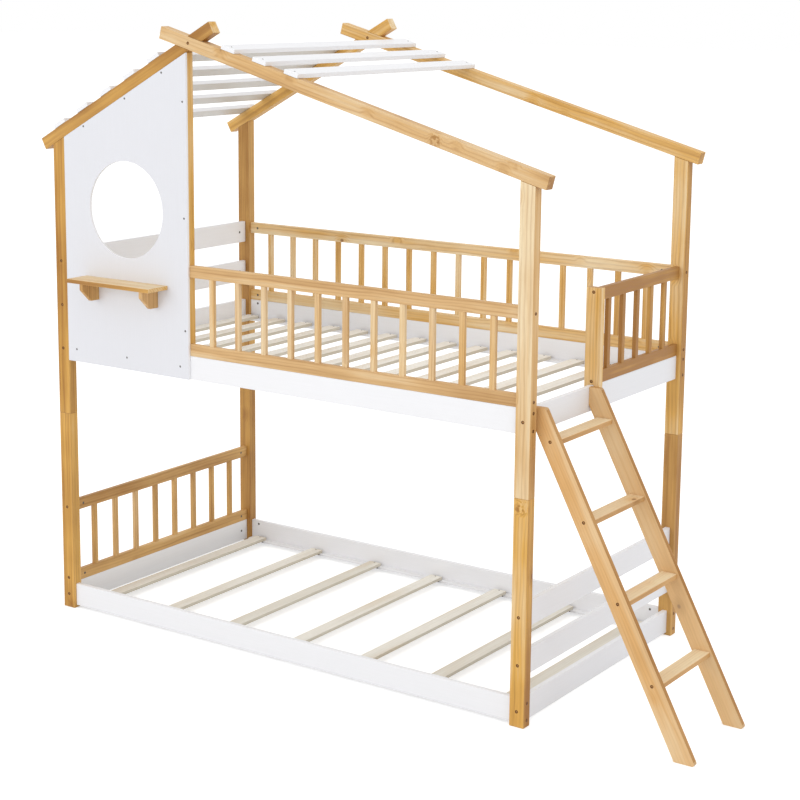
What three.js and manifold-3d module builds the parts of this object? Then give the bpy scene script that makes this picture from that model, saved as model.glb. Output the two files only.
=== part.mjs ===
// House bunk bed: two single bunks between four posts, with a pitched roof frame,
// a panel with a round window, guards of square balusters and a leaning ladder.
// Millimetres, +Z up. X runs along the bed, Y from the front to the back.
// The bed is laid out from the front left post's outer corner, at the floor.
// At the end it is moved so that its origin is the middle of its footprint.

import * as THREE from "three";
import Module from "manifold-3d";
import { mergeVertices } from "three/addons/utils/BufferGeometryUtils.js";

const wasm = await Module();
wasm.setup();

// Fits
const slopeGap = 0.3;
const slatEndGap = 1;
const cutOverrun = 20;
const roundSegments = 72;
const boreSegments = 12;

// Whole bed
const bedLength = 1985;
const bedWidth = 1070;

// Posts
const postWidth = 53;
const postDepth = 38;
const postJoint = 740;
const leftEaveHeight = 1718;
const rightEaveDrop = 15;

// White rails and end boards
const railHeight = 83;
const railThickness = 18;
const lowerRailBottom = 10;
const upperRailBottom = 940;
const lowerBoardCentres = { low: 203, high: 359.5 };
const upperBoardCentres = { low: 1141, high: 1301 };

// Guards and headboard
const guardRailHeight = 42;
const guardHeight = 315;
const headboardHeight = 313;
const balusterWidth = 20;
const balusterDepth = 15;
const tenonLength = 5;
const frontBalusters = 11;
const backBalusters = 16;
const headboardBalusters = 8;
const endGuardBalusters = 5;
const frontEndGap = 84;
const backEndGap = 89.5;
const endGuardFirstGap = 63;
const endGuardLastGap = 89;

// Short post beside the way in
const accessWidth = 392;
const shortPostDepth = 28;
const shortPostHorn = 9;
const shortPostCap = 3;
const shortPostBoltInset = 11.5;

// Panel, its jamb and its window
const panelWidth = 571;
const panelThickness = 10;
const windowRadius = 170;
const windowPastMiddle = 4.5;
const windowBelowEave = 210;
const jambWidth = 40;
const jambDepth = 28;

// Shelf on the panel
const shelfFromPost = 97;
const shelfFromPanelEdge = 92;
const shelfDepth = 100;
const shelfThickness = 14;
const shelfBelowWindow = 78;
const bracketThickness = 15;
const bracketInset = 44.5;
const bracketDepth = 83;
const bracketHeight = 67;
const bracketChamferDepth = 44;
const bracketChamferHeight = 42;

// Roof
const leftPitch = THREE.MathUtils.degToRad(28.63);
const rightPitch = THREE.MathUtils.degToRad(15.11);
const rafterHeight = 43;
const rafterDepth = postDepth;
const leftRafterTail = 43;
const rightRafterTail = 37;
const leftRafterPastLap = 114;
const rightRafterPastLap = 127.5;
const roofSlatWidth = 57;
const roofSlatThickness = 15;
const leftSlats = 5;
const leftSlatFirst = 64;
const leftSlatFromLap = 164;
const rightSlats = 3;
const rightSlatFromLap = 169.5;
const rightSlatPitch = 135.5;

// Ladder
const ladderLean = THREE.MathUtils.degToRad(27.9);
const ladderHeel = 24;
const stringerWidth = 64;
const stringerThickness = 18;
const ladderFromPost = 12;
const ladderWidth = 368;
const toeRadius = 10;
const headRadius = 10;
const treads = 4;
const treadThickness = 17;
const treadDepth = 54;
const firstTreadHeight = 220;
const topTreadDrop = 103;

// Slats that carry the mattresses
const cleatDepth = 24;
const cleatHeight = 10;
const slatWidth = 53;
const slatThickness = 12;
const lowerSlats = 7;
const lowerSlatInsets = { left: 111, right: 134 };
const upperSlats = 14;
const upperSlatInsets = { left: 76, right: 133 };

// Bolt seats
const boltSeatRadius = 4.5;
const boltSeatDepth = 7;
const railBoltSpread = 28;

// Colours
const pine = new THREE.Color(0.86, 0.66, 0.4);
const palePine = new THREE.Color(0.88, 0.72, 0.5);
const white = new THREE.Color(0.92, 0.92, 0.93);
const rawSlat = new THREE.Color(0.86, 0.82, 0.74);

// Values that follow from the sizes above
const rightEaveHeight = leftEaveHeight - rightEaveDrop;
const lowerRailTop = lowerRailBottom + railHeight;
const upperRailTop = upperRailBottom + railHeight;
const guardTop = upperRailTop + guardHeight;
const headboardTop = lowerRailTop + headboardHeight;
const railInset = (postDepth - railThickness) / 2;
const endRailInset = (postWidth - railThickness) / 2;
const innerRight = bedLength - postWidth;
const innerBack = bedWidth - postDepth;
const endRailFace = bedLength - endRailInset;
const jambRight = postWidth + panelWidth;
const jambLeft = jambRight - jambWidth;
const shortPostFront = postDepth + accessWidth;
const shortPostBack = shortPostFront + shortPostDepth;
const bed = new THREE.Group();

function material(color, roughness) {
  return new THREE.MeshStandardMaterial({ color, roughness, metalness: 0 });
}

// A piece is put in the bed, or in the group that holds it.
function addPiece(name, geometry, look, parent = bed) {
  const mesh = new THREE.Mesh(geometry, look);
  mesh.name = name;
  parent.add(mesh);
  return mesh;
}

// A board between two values along each axis
function boardGeometry(x, y, z) {
  const geometry = new THREE.BoxGeometry(x[1] - x[0], y[1] - y[0], z[1] - z[0]);
  geometry.translate((x[0] + x[1]) / 2, (y[0] + y[1]) / 2, (z[0] + z[1]) / 2);
  return geometry;
}

// An outline in the X and Z plane, run from one Y value to another
function plateGeometry(shape, y, curveSegments = boreSegments) {
  const depth = y[1] - y[0];
  const geometry = new THREE.ExtrudeGeometry(shape, { depth, bevelEnabled: false, curveSegments });
  geometry.rotateX(Math.PI / 2);
  geometry.translate(0, y[1], 0);
  return geometry;
}

function outline(points) {
  return new THREE.Shape(points.map(([x, z]) => new THREE.Vector2(x, z)));
}

// The closed solid that a geometry encloses, for cutting and joining
function toSolid(geometry, matrix) {
  const plain = geometry.clone();
  plain.deleteAttribute("normal");
  plain.deleteAttribute("uv");
  if (matrix) {
    plain.applyMatrix4(matrix);
  }
  const merged = mergeVertices(plain);
  const vertProperties = new Float32Array(merged.attributes.position.array);
  const triVerts = new Uint32Array(merged.index.array);
  return new wasm.Manifold(new wasm.Mesh({ numProp: 3, vertProperties, triVerts }));
}

function toGeometry(solid) {
  const mesh = solid.getMesh();
  const indexed = new THREE.BufferGeometry();
  indexed.setAttribute("position", new THREE.BufferAttribute(mesh.vertProperties, mesh.numProp));
  indexed.setIndex(new THREE.BufferAttribute(mesh.triVerts, 1));
  const geometry = indexed.toNonIndexed();
  geometry.computeVertexNormals();
  return geometry;
}

function joined(geometries) {
  const [first, ...others] = geometries.map((geometry) => toSolid(geometry));
  return toGeometry(others.reduce((whole, piece) => whole.add(piece), first));
}

function cut(geometry, cutters) {
  const start = toSolid(geometry);
  return toGeometry(cutters.reduce((left, cutter) => left.subtract(toSolid(cutter)), start));
}

// A round seat for a bolt head, from a face inwards: axis is "x" or "y", inwards is 1 or -1
function boltSeat(axis, inwards, x, y, z) {
  const length = boltSeatDepth + cutOverrun;
  const geometry = new THREE.CylinderGeometry(boltSeatRadius, boltSeatRadius, length, boreSegments);
  const shift = inwards * (boltSeatDepth - cutOverrun) / 2;
  if (axis === "x") {
    geometry.rotateZ(Math.PI / 2);
    geometry.translate(x + shift, y, z);
  } else {
    geometry.translate(x, y + shift, z);
  }
  return geometry;
}

const pineLook = material(pine, 0.55);
const palePineLook = material(palePine, 0.6);
const whiteLook = material(white, 0.45);
const rawLook = material(rawSlat, 0.75);

// The undersides of the two roof slopes, as heights over the floor
function leftUnderside(x) {
  return leftEaveHeight + x * Math.tan(leftPitch);
}

function rightUnderside(x) {
  return rightEaveHeight + (bedLength - x) * Math.tan(rightPitch);
}

// The outline of an upright board from a foot up to the rafters, whichever is the lower
function underRoof(from, to, foot) {
  const eaveStep = rightEaveHeight + bedLength * Math.tan(rightPitch) - leftEaveHeight;
  const ridge = eaveStep / (Math.tan(leftPitch) + Math.tan(rightPitch));
  const top = (x) => Math.min(leftUnderside(x), rightUnderside(x)) - slopeGap;
  const along = [to, ridge, from].filter((x) => x >= from && x <= to);
  return outline([[from, foot], [to, foot], ...along.map((x) => [x, top(x)])]);
}

// Posts, each in two halves that meet at the joint

// Heights of the bolts that run along Y into the ends of what the left and right posts carry
const endBolts = {
  left: [
    lowerRailBottom + railHeight / 2,
    lowerRailTop + guardRailHeight / 2,
    headboardTop - guardRailHeight / 2,
    upperRailBottom + railHeight / 2,
    upperBoardCentres.low,
    upperBoardCentres.high,
  ],
  right: [
    lowerRailBottom + railHeight / 2,
    lowerBoardCentres.low,
    lowerBoardCentres.high,
    upperRailBottom + railHeight / 2,
  ],
};

// Heights of the bolts that run along X into the ends of the side rails and guards
const railBolts = [lowerRailBottom, upperRailBottom].flatMap((bottom) => [
  bottom + railHeight / 2 - railBoltSpread,
  bottom + railHeight / 2 + railBoltSpread,
]);
const guardBolts = [upperRailTop + guardRailHeight / 2, guardTop - guardRailHeight / 2];

function addPost(side, row) {
  const atLeft = side === "left";
  const atFront = row === "front";
  const x = atLeft ? [0, postWidth] : [innerRight, bedLength];
  const y = atFront ? [0, postDepth] : [innerBack, bedWidth];
  const underside = atLeft ? leftUnderside : rightUnderside;
  const outerX = atLeft ? x[0] : x[1];
  const outerY = atFront ? y[0] : y[1];
  const middleX = (x[0] + x[1]) / 2;
  const middleY = (y[0] + y[1]) / 2;
  const inwardsX = atLeft ? 1 : -1;
  const inwardsY = atFront ? 1 : -1;
  const carriesGuard = !(atLeft && atFront);
  const sideBolts = carriesGuard ? [...railBolts, ...guardBolts] : railBolts;
  const seats = [
    ...endBolts[side].map((z) => [z, boltSeat("y", inwardsY, middleX, outerY, z)]),
    ...sideBolts.map((z) => [z, boltSeat("x", inwardsX, outerX, middleY, z)]),
  ];
  const below = seats.filter(([z]) => z < postJoint).map(([, seat]) => seat);
  const above = seats.filter(([z]) => z >= postJoint).map(([, seat]) => seat);
  const top = outline([
    [x[0], postJoint],
    [x[1], postJoint],
    [x[1], underside(x[1]) - slopeGap],
    [x[0], underside(x[0]) - slopeGap],
  ]);
  const foot = boardGeometry(x, y, [0, postJoint]);
  addPiece(`lower_post_${row}_${side}`, cut(foot, below), pineLook);
  addPiece(`upper_post_${row}_${side}`, cut(plateGeometry(top, y), above), pineLook);
}

for (const row of ["front", "back"]) {
  for (const side of ["left", "right"]) {
    addPost(side, row);
  }
}

// White rails along the bed and across its ends
const sideRows = {
  front: [railInset, railInset + railThickness],
  back: [bedWidth - railInset - railThickness, bedWidth - railInset],
};
const endRows = {
  left: [endRailInset, endRailInset + railThickness],
  right: [endRailFace - railThickness, endRailFace],
};
const insideX = [postWidth, innerRight];
const insideY = [postDepth, innerBack];
const railLevels = {
  lower: [lowerRailBottom, lowerRailTop],
  upper: [upperRailBottom, upperRailTop],
};

for (const [level, z] of Object.entries(railLevels)) {
  for (const [row, y] of Object.entries(sideRows)) {
    addPiece(`${level}_${row}_rail`, boardGeometry(insideX, y, z), whiteLook);
  }
  for (const [side, x] of Object.entries(endRows)) {
    addPiece(`${level}_${side}_end_rail`, boardGeometry(x, insideY, z), whiteLook);
  }
}

function addEndBoard(name, x, centre) {
  const z = [centre - railHeight / 2, centre + railHeight / 2];
  addPiece(name, boardGeometry(x, insideY, z), whiteLook);
}

for (const [step, centre] of Object.entries(lowerBoardCentres)) {
  addEndBoard(`right_end_board_${step}`, endRows.right, centre);
}
for (const [step, centre] of Object.entries(upperBoardCentres)) {
  addEndBoard(`left_end_board_${step}`, endRows.left, centre);
}

// Guards: two rails with balusters tenoned into them, glued up as one piece

// along is the guard's run on its long axis, across its thickness, centres the balusters' places
function guardGeometry(axis, along, across, bottom, top, centres) {
  const middle = (across[0] + across[1]) / 2;
  const thin = [middle - balusterDepth / 2, middle + balusterDepth / 2];
  const upright = [bottom + guardRailHeight - tenonLength, top - guardRailHeight + tenonLength];
  const place = (run, depth, z) =>
    axis === "x" ? boardGeometry(run, depth, z) : boardGeometry(depth, run, z);
  const rails = [
    place(along, across, [bottom, bottom + guardRailHeight]),
    place(along, across, [top - guardRailHeight, top]),
  ];
  const uprights = centres.map((centre) =>
    place([centre - balusterWidth / 2, centre + balusterWidth / 2], thin, upright),
  );
  return joined([...rails, ...uprights]);
}

function rowFrom(first, count, pitch) {
  return Array.from({ length: count }, (unused, step) => first + step * pitch);
}

// Places of equal pitch between two values, the first and the last of them included
function spreadRow(first, last, count) {
  return rowFrom(first, count, (last - first) / (count - 1));
}

// Middles of balusters between two values, with the gap that each end of the row keeps
function balusterRow(from, to, firstGap, lastGap, count) {
  return spreadRow(from + firstGap + balusterWidth / 2, to - lastGap - balusterWidth / 2, count);
}

addPiece(
  "front_guard",
  guardGeometry("x", [jambLeft, innerRight], sideRows.front, upperRailTop, guardTop,
    balusterRow(jambRight, innerRight, frontEndGap, frontEndGap, frontBalusters)),
  pineLook,
);
addPiece(
  "back_guard",
  guardGeometry("x", insideX, sideRows.back, upperRailTop, guardTop,
    balusterRow(postWidth, innerRight, backEndGap, backEndGap, backBalusters)),
  pineLook,
);
addPiece(
  "end_guard",
  guardGeometry("y", [shortPostBack, innerBack], endRows.right, upperRailTop, guardTop,
    balusterRow(shortPostBack, innerBack, endGuardFirstGap, endGuardLastGap, endGuardBalusters)),
  pineLook,
);

const headboardOpen = innerBack - postDepth - headboardBalusters * balusterWidth;
const headboardGap = headboardOpen / (headboardBalusters + 1);
addPiece(
  "headboard",
  guardGeometry("y", insideY, endRows.left, lowerRailTop, headboardTop,
    balusterRow(postDepth, innerBack, headboardGap, headboardGap, headboardBalusters)),
  pineLook,
);

// Short post that closes the end guard, with a horn each side of the rail below it
const hornFoot = upperRailTop - shortPostHorn;
const shortPost = outline([
  [innerRight, hornFoot],
  [endRows.right[0], hornFoot],
  [endRows.right[0], upperRailTop],
  [endRows.right[1], upperRailTop],
  [endRows.right[1], hornFoot],
  [bedLength, hornFoot],
  [bedLength, guardTop + shortPostCap],
  [innerRight, guardTop + shortPostCap],
]);
const endRailMiddle = endRailFace - railThickness / 2;
const shortPostBolts = [upperRailTop + shortPostBoltInset, guardTop - shortPostBoltInset];
addPiece(
  "guard_short_post",
  cut(
    plateGeometry(shortPost, [shortPostFront, shortPostBack]),
    shortPostBolts.map((z) => boltSeat("y", 1, endRailMiddle, shortPostFront, z)),
  ),
  pineLook,
);

// Panel with the round window, over the rail and the jamb
const panelShape = underRoof(postWidth, jambRight, upperRailBottom);
const windowX = postWidth + panelWidth / 2 + windowPastMiddle;
const windowHeight = leftEaveHeight - windowBelowEave;
const windowHole = new THREE.Path();
windowHole.absarc(windowX, windowHeight, windowRadius, 0, 2 * Math.PI, true);
panelShape.holes.push(windowHole);
addPiece("window_panel", plateGeometry(panelShape, [0, panelThickness], roundSegments / 2), whiteLook);

// Jamb behind the panel's free edge, lapped by the rail and by the guard's two rails
const jambFront = panelThickness;
const jambBack = jambFront + jambDepth;
const jambFoot = upperRailBottom + cleatHeight;
const jambShape = underRoof(jambLeft, jambRight, jambFoot);
const lapX = [jambLeft - cutOverrun, jambRight + cutOverrun];
const lapY = [jambFront - cutOverrun, sideRows.front[1]];
addPiece(
  "panel_jamb",
  cut(plateGeometry(jambShape, [jambFront, jambBack]), [
    boardGeometry(lapX, lapY, [jambFoot - cutOverrun, upperRailTop + guardRailHeight]),
    boardGeometry(lapX, lapY, [guardTop - guardRailHeight, guardTop]),
  ]),
  pineLook,
);

// Shelf on two brackets, on the front of the panel
const shelfLeft = postWidth + shelfFromPost;
const shelfRight = jambRight - shelfFromPanelEdge;
const shelfTop = windowHeight - windowRadius - shelfBelowWindow;
const shelfBottom = shelfTop - shelfThickness;
addPiece(
  "shelf",
  boardGeometry([shelfLeft, shelfRight], [-shelfDepth, 0], [shelfBottom, shelfTop]),
  pineLook,
);

// The bracket's outline lies in the Y and Z plane, so it is drawn with Y to the left and turned.
function bracketGeometry(x) {
  const profile = outline([
    [0, -bracketHeight],
    [0, 0],
    [-bracketDepth, 0],
    [-bracketDepth, bracketChamferHeight - bracketHeight],
    [bracketChamferDepth - bracketDepth, -bracketHeight],
  ]);
  const geometry = plateGeometry(profile, [-bracketThickness, 0]);
  geometry.rotateZ(Math.PI / 2);
  geometry.translate(x, 0, shelfBottom);
  return geometry;
}

const bracketPlaces = {
  left: shelfLeft + bracketInset,
  right: shelfRight - bracketInset - bracketThickness,
};
for (const [side, x] of Object.entries(bracketPlaces)) {
  addPiece(`shelf_bracket_${side}`, bracketGeometry(x), pineLook);
}

// Roof: on each slope a turned group, its X along the rafters and its Z square to them
const leftSlope = new THREE.Group();
leftSlope.position.set(0, 0, leftEaveHeight);
leftSlope.rotation.y = -leftPitch;
const rightSlope = new THREE.Group();
rightSlope.position.set(bedLength, 0, rightEaveHeight);
rightSlope.rotation.y = rightPitch;
for (const slope of [leftSlope, rightSlope]) {
  bed.add(slope);
  slope.updateMatrix();
}

// Where the rafters' middle lines cross, for the bolt through the lap
const leftMiddle = leftEaveHeight + rafterHeight / 2 / Math.cos(leftPitch);
const rightMiddle = rightEaveHeight + rafterHeight / 2 / Math.cos(rightPitch);
const crossingX =
  (rightMiddle + bedLength * Math.tan(rightPitch) - leftMiddle) /
  (Math.tan(leftPitch) + Math.tan(rightPitch));
const crossingZ = leftMiddle + crossingX * Math.tan(leftPitch);

// How far up each slope from its eave the rafters cross
const halfRafter = rafterHeight / 2;
const leftLap = crossingX / Math.cos(leftPitch) + halfRafter * Math.tan(leftPitch);
const rightLap = (bedLength - crossingX) / Math.cos(rightPitch) + halfRafter * Math.tan(rightPitch);
const leftRafterX = [-leftRafterTail, leftLap + leftRafterPastLap];
const rightRafterX = [-rightLap - rightRafterPastLap, rightRafterTail];
const rafterZ = [0, rafterHeight];
const lapZ = [-slopeGap, rafterHeight + slopeGap];

// The cutter is a length of the other slope's rafter, brought into this slope's frame.
function lapCut(geometry, cutter, from, to) {
  const move = to.matrix.clone().invert().multiply(from.matrix);
  return toSolid(geometry).subtract(toSolid(cutter, move));
}

for (const [row, y] of Object.entries({ front: [0, rafterDepth], back: [innerBack, bedWidth] })) {
  const half = (y[0] + y[1]) / 2;
  const frontHalf = [y[0] - cutOverrun, half];
  const backHalf = [half, y[1] + cutOverrun];
  const leftRafter = boardGeometry(leftRafterX, y, rafterZ);
  const rightRafter = boardGeometry(rightRafterX, y, rafterZ);
  const leftCut = lapCut(leftRafter, boardGeometry(rightRafterX, frontHalf, lapZ), rightSlope, leftSlope);
  const rightCut = lapCut(rightRafter, boardGeometry(leftRafterX, backHalf, lapZ), leftSlope, rightSlope);
  const seat = boltSeat("y", 1, crossingX, y[0], crossingZ);
  const seated = rightCut.subtract(toSolid(seat, rightSlope.matrix.clone().invert()));
  addPiece(`${row}_left_rafter`, toGeometry(leftCut), pineLook, leftSlope);
  addPiece(`${row}_right_rafter`, toGeometry(seated), pineLook, rightSlope);
}

// White slats across the rafters
function addRoofSlat(name, slope, centre) {
  const x = [centre - roofSlatWidth / 2, centre + roofSlatWidth / 2];
  const z = [rafterHeight + slopeGap, rafterHeight + slopeGap + roofSlatThickness];
  addPiece(name, boardGeometry(x, [0, bedWidth], z), whiteLook, slope);
}

spreadRow(leftSlatFirst, leftLap - leftSlatFromLap, leftSlats).forEach((centre, step) =>
  addRoofSlat(`roof_slat_left_${step + 1}`, leftSlope, centre),
);
const lowestRightSlat = rightLap - rightSlatFromLap - (rightSlats - 1) * rightSlatPitch;
rowFrom(lowestRightSlat, rightSlats, rightSlatPitch).forEach((centre, step) =>
  addRoofSlat(`roof_slat_right_${step + 1}`, rightSlope, -centre),
);

// Ladder, leaning against the upper end rail
const heelHeight = upperRailBottom + ladderHeel;
const stringerRun = stringerWidth / Math.cos(ladderLean);
const ladderFront = postDepth + ladderFromPost;
const ladderBack = ladderFront + ladderWidth;

// The stringer's back edge, which meets the rail's face at the heel
function ladderBackEdge(z) {
  return endRailFace + (heelHeight - z) * Math.tan(ladderLean);
}

// The front edge is rounded at both ends, at the toe on the floor and at the head.
const toe = new THREE.Vector2(ladderBackEdge(0) + stringerRun, 0);
const toeReach = toeRadius / Math.tan((Math.PI / 2 - ladderLean) / 2);
const toeFloor = [toe.x - toeReach, 0];
const toeFront = [toe.x - toeReach * Math.sin(ladderLean), toeReach * Math.cos(ladderLean)];
const head = new THREE.Vector2(ladderBackEdge(upperRailTop) + stringerRun, upperRailTop);
const headReach = headRadius / Math.tan((Math.PI / 2 + ladderLean) / 2);
const headFront = [head.x + headReach * Math.sin(ladderLean), head.y - headReach * Math.cos(ladderLean)];
const headTop = [head.x - headReach, head.y];
const stringerShape = new THREE.Shape();
stringerShape.moveTo(ladderBackEdge(0), 0);
stringerShape.lineTo(...toeFloor);
stringerShape.quadraticCurveTo(toe.x, toe.y, ...toeFront);
stringerShape.lineTo(...headFront);
stringerShape.quadraticCurveTo(head.x, head.y, ...headTop);
stringerShape.lineTo(endRailFace, upperRailTop);
stringerShape.lineTo(endRailFace, heelHeight);
stringerShape.closePath();

const treadPitch = (upperRailTop - topTreadDrop - firstTreadHeight) / (treads - 1);
const treadHeights = rowFrom(firstTreadHeight, treads, treadPitch);

// The treads and their bolts stand on the middle line of the stringers.
function stringerMiddle(z) {
  return ladderBackEdge(z) + stringerRun / 2;
}

function addStringer(name, y, outerY, inwards) {
  const seats = treadHeights.map((z) => boltSeat("y", inwards, stringerMiddle(z), outerY, z));
  addPiece(name, cut(plateGeometry(stringerShape, y), seats), palePineLook);
}

addStringer("ladder_stringer_front", [ladderFront, ladderFront + stringerThickness], ladderFront, 1);
addStringer("ladder_stringer_back", [ladderBack - stringerThickness, ladderBack], ladderBack, -1);

treadHeights.forEach((height, step) => {
  const x = [stringerMiddle(height) - treadDepth / 2, stringerMiddle(height) + treadDepth / 2];
  const y = [ladderFront + stringerThickness, ladderBack - stringerThickness];
  const z = [height - treadThickness / 2, height + treadThickness / 2];
  addPiece(`ladder_tread_${step + 1}`, boardGeometry(x, y, z), palePineLook);
});

// Cleats inside the side rails, and the slats that lie on them
const cleatRows = {
  front: [sideRows.front[1], sideRows.front[1] + cleatDepth],
  back: [sideRows.back[0] - cleatDepth, sideRows.back[0]],
};
const slatY = [postDepth + slatEndGap, innerBack - slatEndGap];

function cleatGeometry(y, railBottom) {
  return boardGeometry(insideX, y, [railBottom, railBottom + cleatHeight]);
}

function slatGeometry(centre, bottom) {
  const x = [centre - slatWidth / 2, centre + slatWidth / 2];
  return boardGeometry(x, slatY, [bottom, bottom + slatThickness]);
}

for (const [row, y] of Object.entries(cleatRows)) {
  addPiece(`lower_${row}_cleat`, cleatGeometry(y, lowerRailBottom), whiteLook);
}
const lowerSlatPlaces = spreadRow(lowerSlatInsets.left, bedLength - lowerSlatInsets.right, lowerSlats);
lowerSlatPlaces.forEach((centre, step) =>
  addPiece(`lower_slat_${step + 1}`, slatGeometry(centre, lowerRailBottom + cleatHeight), rawLook),
);

// The upper bunk's slats lie on their two cleats and are screwed to them, so they are one deck
const upperCleats = Object.values(cleatRows).map((y) => cleatGeometry(y, upperRailBottom));
const upperSlatPlaces = spreadRow(upperSlatInsets.left, bedLength - upperSlatInsets.right, upperSlats);
const upperSlatRow = upperSlatPlaces.map((centre) =>
  slatGeometry(centre, upperRailBottom + cleatHeight),
);
addPiece("upper_slat_deck", joined([...upperCleats, ...upperSlatRow]), rawLook);

// The whole bed, moved so that its origin is the middle of its footprint
const footprint = new THREE.Box3().setFromObject(bed).getCenter(new THREE.Vector3());
bed.position.set(-footprint.x, -footprint.y, 0);

export default bed;
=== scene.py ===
import functools
import itertools
import math

import bmesh
import bpy
from bpy.props import FloatProperty, FloatVectorProperty, IntProperty, PointerProperty
from mathutils import Euler, Matrix, Vector


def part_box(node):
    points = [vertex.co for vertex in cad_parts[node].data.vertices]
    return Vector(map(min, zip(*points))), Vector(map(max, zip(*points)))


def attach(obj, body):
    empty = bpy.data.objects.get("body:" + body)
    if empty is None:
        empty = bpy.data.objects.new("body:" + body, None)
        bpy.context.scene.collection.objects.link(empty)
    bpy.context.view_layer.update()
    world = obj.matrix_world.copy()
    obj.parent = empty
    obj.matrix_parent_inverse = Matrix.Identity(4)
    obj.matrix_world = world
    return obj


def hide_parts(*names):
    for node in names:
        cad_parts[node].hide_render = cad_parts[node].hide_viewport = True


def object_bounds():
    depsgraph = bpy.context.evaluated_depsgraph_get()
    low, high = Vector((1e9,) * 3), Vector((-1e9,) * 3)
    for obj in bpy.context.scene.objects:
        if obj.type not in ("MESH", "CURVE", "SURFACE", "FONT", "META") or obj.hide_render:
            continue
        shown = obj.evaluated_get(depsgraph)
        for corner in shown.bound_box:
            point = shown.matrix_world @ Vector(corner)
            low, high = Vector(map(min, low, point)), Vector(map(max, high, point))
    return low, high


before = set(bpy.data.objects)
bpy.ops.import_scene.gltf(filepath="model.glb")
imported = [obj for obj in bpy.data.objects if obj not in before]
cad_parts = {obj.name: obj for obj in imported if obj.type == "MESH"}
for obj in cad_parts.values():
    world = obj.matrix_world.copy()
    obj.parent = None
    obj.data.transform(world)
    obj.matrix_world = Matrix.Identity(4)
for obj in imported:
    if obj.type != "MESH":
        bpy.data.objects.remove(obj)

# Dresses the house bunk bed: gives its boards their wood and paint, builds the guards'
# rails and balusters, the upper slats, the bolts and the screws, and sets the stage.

CAD_LOW, CAD_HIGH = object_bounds()

bl_info = {
    "name": "House bunk bed dressing",
    "version": (1, 0, 0),
    "blender": (4, 5, 0),
    "location": "View3D > Sidebar > Bunk bed",
    "description": "Finishes the boards of a house bunk bed and builds its small pieces",
    "category": "Object",
}

MM = 0.001

# Places are counted in millimetres from the front left post's outer corner at the floor.
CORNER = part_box("lower_post_front_left")[0]


def at(x, y, z):
    """A place on the bed, from millimetres to the scene's metres."""
    return Vector((CORNER.x + x * MM, CORNER.y + y * MM, CORNER.z + z * MM))


def display(red, green, blue):
    """A colour read off a display, 0 to 255, as the linear colour that materials take."""
    def linear(value):
        share = value / 255
        return share / 12.92 if share <= 0.04045 else ((share + 0.055) / 1.055) ** 2.4
    return (linear(red), linear(green), linear(blue))


# Directions that the grain runs in
LEFT_PITCH = math.radians(28.63)
RIGHT_PITCH = math.radians(15.11)
LADDER_LEAN = math.radians(27.9)
GRAIN_TURNS = {
    "along": Euler((0, math.radians(-90), 0)),
    "across": Euler((math.radians(90), 0, 0)),
    "upright": Euler((0, 0, 0)),
    "left_slope": Euler((0, math.radians(-90) + LEFT_PITCH, 0)),
    "right_slope": Euler((0, math.radians(-90) - RIGHT_PITCH, 0)),
    "ladder": Euler((0, LADDER_LEAN, 0)),
}


# Sizes and colours

class BedSizes(bpy.types.PropertyGroup):
    """Sizes of what is built or eased here"""
    post_ease: FloatProperty(
        name="Post edge", description="Rounding of the posts' and rafters' edges",
        default=2.1 * MM, min=0, unit="LENGTH")
    board_ease: FloatProperty(
        name="Board edge", description="Rounding of the painted boards' edges",
        default=2.0 * MM, min=0, unit="LENGTH")
    thin_ease: FloatProperty(
        name="Thin edge", description="Rounding of the slats', the shelf's and the panel's edges",
        default=1.2 * MM, min=0, unit="LENGTH")
    ladder_ease: FloatProperty(
        name="Stringer edge", description="Rounding of the ladder stringers' edges",
        default=1.0 * MM, min=0, unit="LENGTH")
    tread_ease: FloatProperty(
        name="Tread edge", description="Rounding of the treads' edges",
        default=2.6 * MM, min=0, unit="LENGTH")
    baluster_ease: FloatProperty(
        name="Baluster edge", description="Rounding of the balusters' long edges",
        default=2.2 * MM, min=0, unit="LENGTH")
    ease_steps: IntProperty(
        name="Edge steps", description="How many facets a rounded edge has", default=3, min=1, max=6)
    bolt_radius: FloatProperty(
        name="Bolt collar radius", description="Radius of the collar round each bolt's key hole",
        default=5.4 * MM, min=0, unit="LENGTH")
    bolt_depth: FloatProperty(
        name="Bolt depth", description="How far a bolt's head lies under the wood's face",
        default=0.5 * MM, min=0, unit="LENGTH")
    screw_radius: FloatProperty(
        name="Screw head radius", description="Radius of the screw heads in the panel and the roof slats",
        default=3.6 * MM, min=0, unit="LENGTH")
    nut_radius: FloatProperty(
        name="Cross nut radius", description="Radius of the cross nuts on the rails' inner faces",
        default=4.6 * MM, min=0, unit="LENGTH")


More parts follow.
